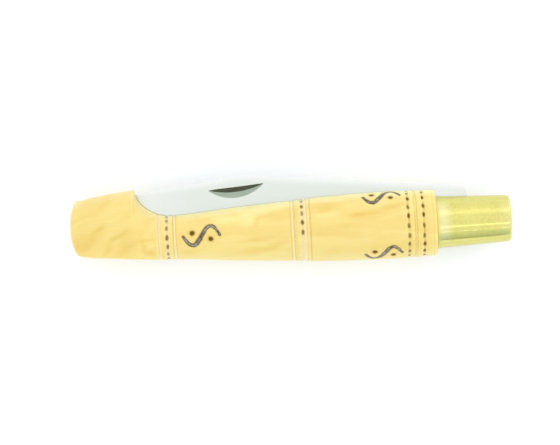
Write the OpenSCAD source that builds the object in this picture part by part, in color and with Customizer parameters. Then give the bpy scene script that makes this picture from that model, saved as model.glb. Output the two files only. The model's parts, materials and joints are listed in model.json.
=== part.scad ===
// Pocket knife with a boxwood clog handle and a turning brass ferrule that locks the blade.
// Millimetres. X runs from the butt to the ferrule, Y towards the back of the folded blade, Z up.
// The knife lies on its side; the origin is the middle of its bounding box, on the surface under it.

/* [Handle] */
// Length of the wood from the butt to the ferrule
handle_l = 99.2; // [97:0.2:108]
// Largest diameter of the turned body
belly_d = 18.5; // [17.5:0.25:21]
// Distance of the largest diameter behind the ferrule
belly_back = 12; // [8:1:16]
// Diameter where the wood meets the ferrule
shoulder_d = 17.9; // [16.5:0.25:18.25]
// Diameter in front of the middle band of rings
fore_d = 17.7; // [17.25:0.05:18.2]
// Diameter behind that band
middle_d = 16.4; // [15.8:0.1:17.2]
// Distance of the band's middle behind the ferrule
middle_back = 36.8; // [34:0.2:39]
// Diameter of the shaft between the waist and the band
shaft_d = 14.7; // [14.2:0.1:15.6]
// Smallest diameter, at the waist
waist_d = 12.1; // [11.7:0.1:13.2]

/* [Clog] */
// Butt to the top corner of the clog
clog_l = 17.6; // [16:0.1:19]
// Length of the hollow from that corner down to the waist
cove_l = 9.4; // [8:0.1:11]
// Height of the top corner above the handle's axis
corner_h = 13.6; // [12.8:0.1:14.2]
// Height of the butt end's rim above the axis
butt_h = 11.5; // [11:0.1:12.4]
// How far the top line bulges between the two
top_bulge = 0.1; // [0:0.05:0.8]
// Radius of the butt end's own curve, seen from the side
butt_curve = 12.5; // [11:0.5:20]
// Radius of the rounding where the butt end meets the sides
butt_round = 2.2; // [1.5:0.1:3.5]
// Radius of the rounding between the flat sides and the round top
top_round = 5; // [3:0.25:6]
// How far the flat sole rises towards the butt, from the waist
sole_rise = 2.3; // [1.5:0.1:3]
// Radius of the rounding along the sole's edges
sole_round = 2; // [1:0.1:2.5]

/* [Turned rings] */
// Width of a fine turned line
line_w = 0.5; // [0.3:0.05:0.7]
// Depth of a fine turned line
line_depth = 0.22; // [0.1:0.02:0.35]
// Width of the wider groove that carries the burnt dots
dot_groove_w = 1; // [0.7:0.05:1.2]
// Depth of that groove
dot_groove_depth = 0.2; // [0.1:0.02:0.3]

/* [Ferrule] */
// Length of the ferrule
ferrule_l = 20.4; // [19.2:0.2:24]
// Outer diameter at its rear
ferrule_rear_d = 14.4; // [14.2:0.1:15.4]
// Outer diameter at its mouth
ferrule_mouth_d = 12.8; // [12.5:0.1:13.6]
// Thickness of the brass
ferrule_wall = 1; // [0.8:0.05:1.05]
// Radius of the rounding round its mouth
mouth_round = 0.8; // [0.3:0.05:0.9]
// Running clearance between the ferrule and the wood, on the radius
turn_gap = 0.06; // [0.03:0.01:0.09]
// End clearance between the ferrule and the wood's shoulder
end_gap = 0.1; // [0.05:0.05:0.3]
// Angle that the ferrule turns through to lock
lock_angle = 45; // [35:1:60]
// Height of the bead inside the ferrule that holds it on
bead_h = 0.35; // [0.2:0.05:0.45]
// Width of that bead
bead_w = 1.2; // [0.8:0.1:1.6]
// Distance of the bead from the ferrule's rear edge
bead_ahead = 3; // [2:0.25:4]

/* [Blade] */
// Thickness of the steel
blade_t = 2; // [1.6:0.1:2.4]
// Thickness left at the cutting edge
edge_t = 0.16; // [0.1:0.02:0.3]
// Width of the blade where it is widest
blade_w = 17.1; // [15.5:0.1:17.5]
// Length of the curved belly behind the tip
belly_l = 41; // [36:1:46]
// Width of the blade at its heel
heel_w = 15.4; // [14.5:0.1:15.8]
// Distance from the pivot to the heel, where the edge starts
heel_s = 18; // [17:0.25:20]
// Angle of the back to the handle's axis, folded
back_angle = 6.1; // [5.5:0.1:6.7]
// Height of the back above the pivot at its shoulder
back_h = 7.5; // [7:0.1:7.8]
// Length of the point where the back drops to the tip
clip_l = 32; // [28:1:36]
// How far the back drops along the point
clip_drop = 3.7; // [3:0.1:4.5]
// How hollow that line is, as a share of the drop
clip_hollow = 0.3; // [0:0.05:0.4]
// How far the tip is buried in the clog behind the top corner
tip_bury = 2.4; // [1.5:0.1:3.5]
// Side clearance of the blade in its slot, each side
side_gap = 0.15; // [0.1:0.01:0.3]
// Space under the cutting edge and past the tip
edge_gap = 0.8; // [0.5:0.05:1]

/* [Pivot] */
// Diameter of the pivot pin
pin_d = 2.5; // [2:0.1:3]
// Distance of the pin behind the ferrule's mouth
pin_back = 5.5; // [5:0.1:5.8]
// Height of the pin above the handle's axis
pin_h = 2; // [1.8:0.05:2.2]
// Height of the tang's back above the pin, which rests on the wood when open
tang_back = 4.6; // [4.3:0.05:5]
// Running clearance of the tang on the pin, on the radius
pin_gap = 0.05; // [0.02:0.01:0.08]
// Clearance of the tang under the ferrule
tang_gap = 0.15; // [0.1:0.01:0.2]

/* [Nail nick] */
// Length of the nick
nick_l = 15.5; // [12:0.1:17]
// Width of the nick
nick_w = 3; // [2.4:0.1:3.4]
// Width of its steeper side, next to the back
nick_side = 1.4; // [1:0.1:1.6]
// Depth of the nick
nick_depth = 0.65; // [0.4:0.05:0.75]
// Distance of the nick's middle behind the tip
nick_back = 30; // [27:0.5:34]
// Distance of the nick's straight side below the back
nick_down = 2.8; // [2.2:0.1:3.4]

/* [Hidden] */
round_fn = 96;
arc_steps = 8;
tiny = 0.01;

waist_x = clog_l + cove_l;
total_l = handle_l + ferrule_l;
flat_z = belly_d / 2;
pin_x = total_l - pin_back;

// Heights of the ferrule's cone, x counted from its rear edge
function ferrule_out(x) = ferrule_rear_d / 2 + (ferrule_mouth_d - ferrule_rear_d) / 2 * x / ferrule_l;
function ferrule_in(x) = ferrule_out(x) - ferrule_wall;
function tenon_r(x) = ferrule_in(x) - turn_gap;

// Smooth height at x through [x, height] knots: level at the first knot and at the highest one
function slope(k, i) =
    i == 0 ? 0 :
    i == len(k) - 1 ? 2 * (k[i][1] - k[i - 1][1]) / (k[i][0] - k[i - 1][0]) :
    (k[i + 1][1] - k[i][1]) * (k[i][1] - k[i - 1][1]) <= 0 ? 0 :
    (k[i + 1][1] - k[i - 1][1]) / (k[i + 1][0] - k[i - 1][0]);
function span(k, x, i = 0) = i >= len(k) - 2 || x <= k[i + 1][0] ? i : span(k, x, i + 1);
function hermite(a, b, sa, sb, w, t) =
    a * (2 * t ^ 3 - 3 * t ^ 2 + 1) + b * (3 * t ^ 2 - 2 * t ^ 3)
    + w * (sa * (t ^ 3 - 2 * t ^ 2 + t) + sb * (t ^ 3 - t ^ 2));
function smooth(k, x, i) =
    let (w = k[i + 1][0] - k[i][0])
    hermite(k[i][1], k[i + 1][1], slope(k, i), slope(k, i + 1), w, (x - k[i][0]) / w);

// The turned body, from the waist to the ferrule
body_knots = [
    [waist_x, waist_d / 2],
    [waist_x + 18, shaft_d / 2],
    [handle_l - middle_back - 3.5, middle_d / 2],
    [handle_l - middle_back + 6, fore_d / 2],
    [handle_l - belly_back, belly_d / 2],
    [handle_l, shoulder_d / 2]
];
function body_r(x) = smooth(body_knots, x, span(body_knots, x));

// The hollow behind the waist, a quarter of a slightly flattened ellipse
cove_power = 1.85;
function cove_r(x) =
    let (q = (waist_x - x) / cove_l)
    corner_h - (corner_h - waist_d / 2) * (1 - q ^ cove_power) ^ (1 / cove_power);
function turned_r(x) = x < waist_x ? cove_r(x) : body_r(x);

// Turned lines and the grooves for burnt dots
band_x = handle_l - middle_back;
line_places = [
    waist_x - 3.1, waist_x + 0.9, waist_x + 1.7,
    band_x - 2.6, band_x - 1.7, band_x + 1.7, band_x + 2.7,
    handle_l - 6, handle_l - 5.4
];
dot_places = [waist_x - 0.8, band_x + 0.55, handle_l - 7.6, handle_l - 3.5];

function v_groove(x) = [[x - line_w / 2, 0], [x, line_depth], [x + line_w / 2, 0]];
function flat_groove(x) = [
    [x - dot_groove_w / 2, 0],
    [x - dot_groove_w / 4, dot_groove_depth],
    [x + dot_groove_w / 4, dot_groove_depth],
    [x + dot_groove_w / 2, 0]
];
grooves = concat([for (x = line_places) v_groove(x)], [for (x = dot_places) flat_groove(x)]);
function in_groove(x) = len([for (g = grooves) if (abs(x - g[0][0]) < 0.2
    || abs(x - g[len(g) - 1][0]) < 0.2 || (x > g[0][0] && x < g[len(g) - 1][0])) 1]) > 0;
function sorted(points) =
    len(points) < 2 ? points :
    let (m = points[floor(len(points) / 2)][0])
    concat(
        sorted([for (p = points) if (p[0] < m) p]),
        [for (p = points) if (p[0] == m) p],
        sorted([for (p = points) if (p[0] > m) p])
    );
body_step = 3;
cove_turns = [5 : 6 : 89];
shoulder_round = 0.45;
body_end = handle_l - shoulder_round;
sample_places = concat(
    [for (t = cove_turns) waist_x - cove_l * cos(t)],
    [for (x = [waist_x + body_step : body_step : body_end]) x]
);
body_points = sorted(concat(
    [for (x = sample_places) if (!in_groove(x)) [x, turned_r(x)]],
    [for (g = grooves) for (p = g) [p[0], turned_r(p[0]) - p[1]]]
));

// The butt end: it stands out most at butt_mid of its height and curves back to its rim at rim_share
butt_mid = 0.25;
rim_share = 0.9;
butt_step = 0.15;
rim_x = 1.1;
rim_round = 1.2;
top_steps = 6;
top_start = rim_x + rim_round;
function top_r(q) = butt_h + (corner_h - butt_h) * q + top_bulge * 4 * q * (1 - q);
function butt_x(q) = rim_x * ((q - butt_mid) / (rim_share - butt_mid)) ^ 2;

// Outline of the turned wood above the axis, [x, radius], from the butt to the shoulder
turned_outline = concat(
    [[0, 0]],
    [for (q = [butt_mid : butt_step : rim_share]) [butt_x(q), butt_h * q]],
    [for (t = [0 : 90 / arc_steps : 90])
        [rim_x + rim_round * (1 - cos(t)), butt_h - rim_round * (1 - sin(t))]],
    [for (i = [1 : top_steps]) let (q = i / top_steps)
        [top_start + (clog_l - top_start) * q, top_r(q)]],
    body_points,
    [for (t = [90 : -90 / arc_steps : 0])
        [body_end + shoulder_round * cos(t), turned_r(body_end) - shoulder_round * (1 - sin(t))]],
    [[handle_l, 0]]
);

// Turns a polygon of [x, radius] points about the handle's axis
module turn(points) {
    rotate([0, 90, 0]) rotate([0, 0, 90])
        rotate_extrude($fn = round_fn) polygon([for (p = points) [p[1], p[0]]]);
}

// The blade's outline, [s, t]: s runs from the pivot to the tip, t towards the back
mouth_gap = 0.15;
rise_l = 1.7;
shoulder_s = pin_back + mouth_gap;
back_s = shoulder_s + rise_l;
tip_s = pin_x - clog_l + tip_bury;
clip_s = tip_s - clip_l;
function back_t(s) = back_h + tan(back_angle) * (s - back_s);
peak_t = back_t(clip_s);
peak_round = 4;
function clip_t(s) =
    let (q = (s - clip_s) / clip_l)
    peak_t - clip_drop * (q + clip_hollow * q * (1 - q));
tip_t = clip_t(tip_s);
belly_s = tip_s - belly_l;
belly_t = back_t(belly_s) - blade_w / cos(back_angle);
heel_t = back_t(heel_s) - heel_w / cos(back_angle);
edge_slope = (belly_t - heel_t) / (belly_s - heel_s);
kick_l = 4.8;
kick_rise = 0.2;
kick_s = heel_s - kick_l;
kick_t = kick_rise - tang_back;

// The tang fits inside the ferrule, so its heights come from the bore over it
function under_bore(x) = sqrt((ferrule_in(x) - tang_gap) ^ 2 - (blade_t / 2) ^ 2);
tang_r = under_bore(ferrule_l - pin_back) - pin_h;
neck_t = pin_h - under_bore(ferrule_l);

function bezier(a, b, c, d, t) =
    a * (1 - t) ^ 3 + 3 * b * t * (1 - t) ^ 2 + 3 * c * t ^ 2 * (1 - t) + d * t ^ 3;
edge_steps = 14;
belly_pull = 0.42 * belly_l;
tip_pull = [-0.22 * belly_l, -9.3];
edge_curve = [for (i = [0 : edge_steps]) bezier(
    [belly_s, belly_t],
    [belly_s + belly_pull, belly_t + belly_pull * edge_slope],
    [tip_s, tip_t] + tip_pull,
    [tip_s, tip_t],
    i / edge_steps
)];
edge_line = concat([[heel_s, heel_t]], edge_curve);
back_line = concat(
    [for (t = [0 : 90 / arc_steps : 90])
        [back_s - (back_s - shoulder_s) * cos(t), tang_back + (back_h - tang_back) * sin(t)]],
    [for (i = [0 : arc_steps]) let (q = i / arc_steps, s = clip_s - peak_round + 2 * peak_round * q)
        [s, (1 - q) ^ 2 * back_t(clip_s - peak_round) + 2 * q * (1 - q) * peak_t
            + q ^ 2 * clip_t(clip_s + peak_round)]],
    [for (i = [1 : arc_steps]) let (s = clip_s + peak_round + (clip_l - peak_round) * i / arc_steps)
        [s, clip_t(s)]]
);

// Lean of the ground faces, from full thickness along a strip of the back to the edge
back_strip = 2.2;
face_lean = atan((blade_t - edge_t) / 2 / (blade_w - back_strip));
nick_angle = 3.7;

function reversed(list) = [for (i = [len(list) - 1 : -1 : 0]) list[i]];

// Moves [s, t] shapes to the folded blade's place
module folded() {
    translate([pin_x, pin_h, 0]) mirror([1, 0, 0]) children();
}

// The slot's outline in the wood, [x, y], from the ferrule's mouth to the clog; it follows the folded blade
slot_w = blade_t + 2 * side_gap;
above = 30;
floor_gap = 0.05;
heel_gap = 1;
floor_y = pin_h - tang_back - floor_gap;
slot_outline = concat(
    [[total_l + 1, above], [total_l + 1, floor_y], [pin_x - kick_s + heel_gap, floor_y]],
    [[pin_x - heel_s + heel_gap, pin_h + heel_t - edge_gap]],
    [for (p = edge_curve) [pin_x - p[0] - edge_gap, pin_h + p[1] - edge_gap]],
    [[pin_x - tip_s - edge_gap, above]]
);

tenon_short = 0.3;
tenon_chamfer = 0.4;
tenon_l = ferrule_l - tenon_short;
bead_x = end_gap + bead_ahead;
bead_slack = 0.05;

// Points of a ring with slanted sides, [x, radius]
function ring(x, w, low, high) = [[x - w / 2, low], [x - w / 4, high], [x + w / 4, high], [x + w / 2, low]];

module tenon() {
    bead_top = tenon_r(bead_x) - bead_h + turn_gap - bead_slack;
    groove_w = bead_w + 4 * bead_slack;
    turn([for (p = concat(
        [[-1, 0], [-1, tenon_r(-1)]],
        [[bead_x - groove_w / 2, tenon_r(bead_x - groove_w / 2)],
         [bead_x - groove_w / 4, bead_top],
         [bead_x + groove_w / 4, bead_top],
         [bead_x + groove_w / 2, tenon_r(bead_x + groove_w / 2)]],
        [[tenon_l - tenon_chamfer, tenon_r(tenon_l - tenon_chamfer)],
         [tenon_l, tenon_r(tenon_l) - tenon_chamfer],
         [tenon_l, 0]]
    )) [handle_l + p[0], p[1]]]);
}

// What a rounding of radius r takes off the square corner at [x, y], towards +x and +y
module corner_cut(x, y, r) {
    difference() {
        translate([x - r, y - r]) square(r + 1);
        translate([x - r, y - r]) circle(r = r, $fn = round_fn);
    }
}

// The clog's flat sides, rounded over into its turned top
module side_space() {
    centre_z = flat_z - top_round;
    centre_y = sqrt((corner_h - top_round) ^ 2 - centre_z ^ 2);
    top_angle = atan2(centre_y, centre_z);
    half = concat(
        [[flat_z, -above]],
        [for (i = [0 : arc_steps]) let (t = top_angle * i / arc_steps)
            [centre_z + top_round * cos(t), centre_y + top_round * sin(t)]]
    );
    roof = corner_h / sin(top_angle);
    rotate([0, -90, 0]) linear_extrude(height = 2 * waist_x, center = true)
        polygon(concat(half, [[0, roof]], reversed([for (p = half) [-p[0], p[1]]])));
}

// The flat sole with its rounded edges, rising towards the butt
module sole_space() {
    sole_angle = atan(sole_rise / waist_x);
    translate([waist_x, -waist_d / 2, 0]) rotate([0, 0, -sole_angle]) rotate([0, -90, 0])
        linear_extrude(height = 2 * waist_x + 2, center = true) difference() {
            translate([-above, 0]) square([2 * above, above]);
            for (side = [0, 1]) mirror([side, 0]) mirror([0, 1]) corner_cut(flat_z, 0, sole_round);
        }
}

// The butt end seen from the side: a slow curve that turns into the sole
module butt_curve_space() {
    centre_y = butt_h * butt_mid;
    low = -waist_d / 2 + sole_rise;
    toe_h = 1;
    toe_round = 1.2;
    t_low = asin((centre_y - low - toe_h) / butt_curve);
    low_x = butt_curve * (1 - cos(t_low));
    linear_extrude(height = 2 * above, center = true) polygon(concat(
        [[0, above], [0, centre_y]],
        [for (i = [1 : arc_steps]) let (t = t_low * i / arc_steps)
            [butt_curve * (1 - cos(t)), centre_y - butt_curve * sin(t)]],
        [for (t = [22.5 : 22.5 : 90])
            [low_x + toe_round * (1 - cos(t)), low + toe_h - toe_round * sin(t)]],
        [[low_x + 3, -above], [2 * waist_x, -above], [2 * waist_x, above]]
    ));
}

// The butt end's corners with the flat sides, seen from above
module butt_corners() {
    rotate([-90, 0, 0]) linear_extrude(height = 2 * above, center = true)
        for (side = [0, 1]) mirror([0, side]) mirror([1, 0]) corner_cut(0, flat_z, butt_round);
}

module handle() {
    color("#f3dc93") difference() {
        union() {
            intersection() {
                turn(turned_outline);
                union() {
                    intersection() {
                        side_space();
                        sole_space();
                        butt_curve_space();
                    }
                    translate([waist_x - tiny, -above, -above]) cube(2 * above + total_l);
                }
            }
            tenon();
        }
        butt_corners();
        translate([0, 0, -slot_w / 2]) linear_extrude(height = slot_w) polygon(slot_outline);
        translate([pin_x, pin_h, -above / 2]) cylinder(d = pin_d, h = above, $fn = round_fn);
    }
}

module pivot_pin() {
    shy = 0.04;
    front = tenon_l - 0.5;
    color("#b9bcc0") intersection() {
        translate([pin_x, pin_h, -above / 2]) cylinder(d = pin_d, h = above, $fn = round_fn);
        turn([
            [handle_l + 1, 0],
            [handle_l + 1, tenon_r(1) - shy],
            [handle_l + front, tenon_r(front) - shy],
            [handle_l + front, 0]
        ]);
    }
}

module tang_outline() {
    difference() {
        union() {
            circle(r = tang_r, $fn = round_fn);
            polygon(concat(
                [[0, tang_r], [2.2, tang_r], [3.2, tang_back]],
                [for (p = back_line) if (p[0] <= back_s) p],
                [[heel_s, back_t(heel_s)], [heel_s, heel_t], [kick_s, kick_t], [pin_back, neck_t], [0, -tang_r]]
            ));
        }
        circle(d = pin_d + 2 * pin_gap, $fn = round_fn);
    }
}

// The ground part: full thickness along the back, thin all along the edge
module ground_body() {
    thin_l = 5;
    strip_above = 0.3;
    strip_below = 0.6;
    thin_s = tip_s - thin_l;
    outline = concat(
        [[heel_s, back_t(heel_s)]],
        [for (p = back_line) if (p[0] > heel_s) p],
        reversed(edge_line)
    );
    intersection() {
        translate([0, 0, -blade_t]) linear_extrude(height = 2 * blade_t) polygon(outline);
        hull() {
            translate([0, 0, -edge_t / 2]) linear_extrude(height = edge_t) polygon(outline);
            translate([0, 0, -blade_t / 2]) linear_extrude(height = blade_t) polygon([
                [heel_s, back_t(heel_s)],
                [clip_s, peak_t],
                [thin_s, clip_t(thin_s) + strip_above],
                [thin_s, clip_t(thin_s) - strip_below],
                [clip_s, peak_t - back_strip],
                [heel_s, back_t(heel_s) - back_strip]
            ]);
        }
    }
}

// A leaning cutting wheel: its flat side leaves the nick's straight edge, its bevel the curved one
module nick_wheel() {
    lean = atan(nick_depth / nick_side);
    reach = sqrt(nick_depth ^ 2 + nick_side ^ 2);
    wheel_r = (nick_l ^ 2 / 4 + reach ^ 2) / (2 * reach);
    bevel = 90 - lean - atan(nick_depth / (nick_w - nick_side));
    height = 2;
    middle_s = tip_s - nick_back;
    face_z = blade_t / 2 - (nick_down - back_strip) * tan(face_lean);
    translate([middle_s, clip_t(middle_s) - nick_down, face_z]) rotate([0, 0, -nick_angle])
        rotate([lean + face_lean, 0, 0]) translate([0, wheel_r - reach, 0])
        cylinder(r1 = wheel_r, r2 = wheel_r + height * tan(bevel), h = height, $fn = 360);
}

module blade() {
    color("#d9dedb") folded() difference() {
        union() {
            translate([0, 0, -blade_t / 2]) linear_extrude(height = blade_t) tang_outline();
            ground_body();
        }
        nick_wheel();
    }
}

module ferrule() {
    slot_half = blade_t / 2 + 2 * side_gap;
    far_slot = asin(slot_half / ferrule_in(ferrule_l / 2));
    lock_land = 1.8;
    rear_chamfer = 0.2;
    window_end = ferrule_l - pin_back - lock_land;
    window_reach = far_slot + lock_angle;
    outline = concat(
        [[end_gap, ferrule_in(end_gap)]],
        ring(bead_x, bead_w, ferrule_in(bead_x), ferrule_in(bead_x) - bead_h),
        [[ferrule_l, ferrule_in(ferrule_l)]],
        [for (t = [0 : 90 / arc_steps : 90])
            [ferrule_l - mouth_round * (1 - cos(t)),
             ferrule_out(ferrule_l) - mouth_round * (1 - sin(t))]],
        [[end_gap + rear_chamfer, ferrule_out(0)], [end_gap, ferrule_out(0) - rear_chamfer]]
    );
    color("#dccf7c") difference() {
        turn([for (p = outline) [handle_l + p[0], p[1]]]);
        // The way through for the blade, along the whole ferrule
        translate([handle_l - 1, 0, -slot_half]) cube([ferrule_l + 2, above, 2 * slot_half]);
        // The wider part behind, which lets the ferrule turn past the folded blade
        translate([handle_l - 1, 0, 0]) rotate([90, 0, 90]) linear_extrude(height = window_end + 1)
            polygon([[0, 0], [above, 0], [above * cos(window_reach), -above * sin(window_reach)]]);
    }
}

peak_y = pin_h + peak_t;
module placed() {
    translate([-total_l / 2, -(peak_y - belly_d / 2) / 2, belly_d / 2]) children();
}

placed() handle();
placed() pivot_pin();
placed() blade();
placed() ferrule();
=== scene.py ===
import functools
import json
import math

import bmesh
import bpy
import numpy as np
from mathutils import Matrix, Vector


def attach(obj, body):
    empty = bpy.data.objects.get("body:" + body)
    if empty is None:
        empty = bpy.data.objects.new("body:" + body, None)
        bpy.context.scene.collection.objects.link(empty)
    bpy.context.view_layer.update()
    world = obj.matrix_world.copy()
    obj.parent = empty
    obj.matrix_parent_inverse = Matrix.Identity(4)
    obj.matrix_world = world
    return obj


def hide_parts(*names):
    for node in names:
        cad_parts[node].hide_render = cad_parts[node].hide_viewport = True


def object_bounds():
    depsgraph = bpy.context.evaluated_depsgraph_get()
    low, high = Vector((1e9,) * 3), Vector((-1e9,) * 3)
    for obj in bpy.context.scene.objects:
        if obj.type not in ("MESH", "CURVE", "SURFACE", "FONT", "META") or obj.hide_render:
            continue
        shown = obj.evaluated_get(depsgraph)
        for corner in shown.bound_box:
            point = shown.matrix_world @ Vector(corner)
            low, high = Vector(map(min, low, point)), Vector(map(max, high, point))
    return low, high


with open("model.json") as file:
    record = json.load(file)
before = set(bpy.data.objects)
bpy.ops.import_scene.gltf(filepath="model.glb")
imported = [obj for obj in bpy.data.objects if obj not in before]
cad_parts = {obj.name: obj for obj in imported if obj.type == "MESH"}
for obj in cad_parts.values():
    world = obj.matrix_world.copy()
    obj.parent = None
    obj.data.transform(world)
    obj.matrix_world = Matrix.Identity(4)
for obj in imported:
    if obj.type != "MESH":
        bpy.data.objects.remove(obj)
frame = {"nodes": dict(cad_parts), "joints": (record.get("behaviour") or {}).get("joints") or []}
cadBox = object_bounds()

# The handle's axis and the blade's pivot come from the joints; lengths below are in millimetres
joints = {joint["name"]: joint for joint in frame["joints"]}
axisY, axisZ = joints["ferrule_turn"]["pos_m"][1:]
pivot = joints["blade_fold"]["pos_m"]
buttX = cadBox[0].x
pinX = (pivot[0] - buttX) * 1000
pinY = (pivot[1] - axisY) * 1000


def toFrame(points):
    # Handle millimetres (along from the butt, up from the axis, out of the blade's plane) to metres
    out = np.array(points, float) / 1000
    out[..., 0] += buttX
    out[..., 1] += axisY
    out[..., 2] += axisZ
    return out


def toLinear(hexColour):
    values = [int(hexColour[i:i + 2], 16) / 255 for i in (1, 3, 5)]
    return tuple(v / 12.92 if v <= 0.04045 else ((v + 0.055) / 1.055) ** 2.4 for v in values) + (1.0,)


def fill(tree, node, inputs):
    # Inputs come by name or in order; one given as a socket is linked, and any other is set
    for key, value in inputs.items() if isinstance(inputs, dict) else enumerate(inputs):
        if isinstance(value, bpy.types.NodeSocket):
            tree.links.new(value, node.inputs[key])
        else:
            node.inputs[key].default_value = value


def addNode(tree, kind, inputs=(), out=0, **settings):
    # Gives the output that out names; with None it gives the node
    node = tree.nodes.new(kind)
    for key, value in settings.items():
        setattr(node, key, value)
    fill(tree, node, inputs)
    return node if out is None else node.outputs[out]


def weighedSum(add, start, parts):
    # The start plus each value times its weight
    for value, weight in parts:
        start = add("ShaderNodeMath", [value, weight, start], operation="MULTIPLY_ADD")
    return start


def layered(add, base, coats):
    # Each coat's colour goes over what is under it, by its share from 0 to 1 times its strength
    tone = toLinear(base)
    for share, strength, colour in coats:
        share = add("ShaderNodeMath", [share, strength], operation="MULTIPLY")
        tone = add("ShaderNodeMix", {"Factor": share, "A": tone, "B": toLinear(colour)}, "Result",
                   data_type="RGBA")
    return tone


def outward(mesh):
    # Joins doubled points, drops faces without area and points the rest outwards
    work = bmesh.new()
    work.from_mesh(mesh)
    bmesh.ops.remove_doubles(work, verts=work.verts, dist=1e-7)
    bmesh.ops.dissolve_degenerate(work, edges=work.edges, dist=1e-8)
    bmesh.ops.recalc_face_normals(work, faces=work.faces)
    work.to_mesh(mesh)
    work.free()


def closedMesh(name, points, faces):
    mesh = bpy.data.meshes.new(name)
    mesh.from_pydata(toFrame(points).tolist(), [], faces)
    mesh.validate()
    outward(mesh)
    return mesh


def meshFromRings(name, rings):
    # rings is (stations, points round, 3) in handle millimetres; each end is closed with one fan
    rings = np.array(rings)
    stations, around = rings.shape[:2]
    index = np.arange(stations * around).reshape(stations, around)
    a, b = index[:-1], np.roll(index[:-1], -1, 1)
    c, d = np.roll(index[1:], -1, 1), index[1:]
    faces = np.stack([a, b, c, d], -1).reshape(-1, 4).tolist()
    points = np.vstack([rings.reshape(-1, 3), rings[0].mean(0), rings[-1].mean(0)])
    first, last = len(points) - 2, len(points) - 1
    for j in range(around):
        k = (j + 1) % around
        faces.append([first, int(index[0, k]), int(index[0, j])])
        faces.append([last, int(index[-1, j]), int(index[-1, k])])
    return closedMesh(name, points, faces)


def newObject(name, mesh):
    obj = bpy.data.objects.new(name, mesh)
    bpy.context.scene.collection.objects.link(obj)
    return obj


def prism(name, outline, low, high):
    # A straight block over an outline of (along, up) points, between two heights out of the blade's plane
    count = len(outline)
    points = [(x, y, z) for z in (low, high) for x, y in outline]
    faces = [list(range(count)), list(range(count, 2 * count))]
    faces += [[i, (i + 1) % count, (i + 1) % count + count, i + count] for i in range(count)]
    return newObject(name, closedMesh(name, points, faces))


def store(mesh, name, measure):
    # Keeps one number per point, worked out from its place in handle millimetres
    places = np.empty(len(mesh.vertices) * 3)
    mesh.vertices.foreach_get("co", places)
    places = (places.reshape(-1, 3) - (buttX, axisY, axisZ)) * 1000
    values = np.ascontiguousarray(measure(places), dtype=np.float32)
    mesh.attributes.new(name, "FLOAT", "POINT").data.foreach_set("value", values)


def workIn(obj):
    # Makes the object's mesh what its modifiers give, and leaves none on it
    graph = bpy.context.evaluated_depsgraph_get()
    graph.update()
    mesh = bpy.data.meshes.new_from_object(obj.evaluated_get(graph))
    obj.modifiers.clear()
    obj.data = mesh


def cutWith(obj, cutter):
    # The cut faces take the cutter's material
    cut = obj.modifiers.new("cut", "BOOLEAN")
    cut.operation, cut.solver, cut.object = "DIFFERENCE", "EXACT", cutter
    cut.material_mode = "TRANSFER"
    workIn(obj)
    bpy.data.objects.remove(cutter)


def finishPiece(obj, body, node, angle):
    for polygon in obj.data.polygons:
        polygon.use_smooth = True
    obj.data.set_sharp_from_angle(angle=math.radians(angle))
    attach(obj, body)
    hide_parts(node)


def newMaterial(name, look):
    # look adds its nodes to the material's tree and returns what goes into the shader
    material = bpy.data.materials.new(name)
    material.use_nodes = True
    tree = material.node_tree
    fill(tree, tree.nodes["Principled BSDF"], look(functools.partial(addNode, tree)))
    return material


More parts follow.
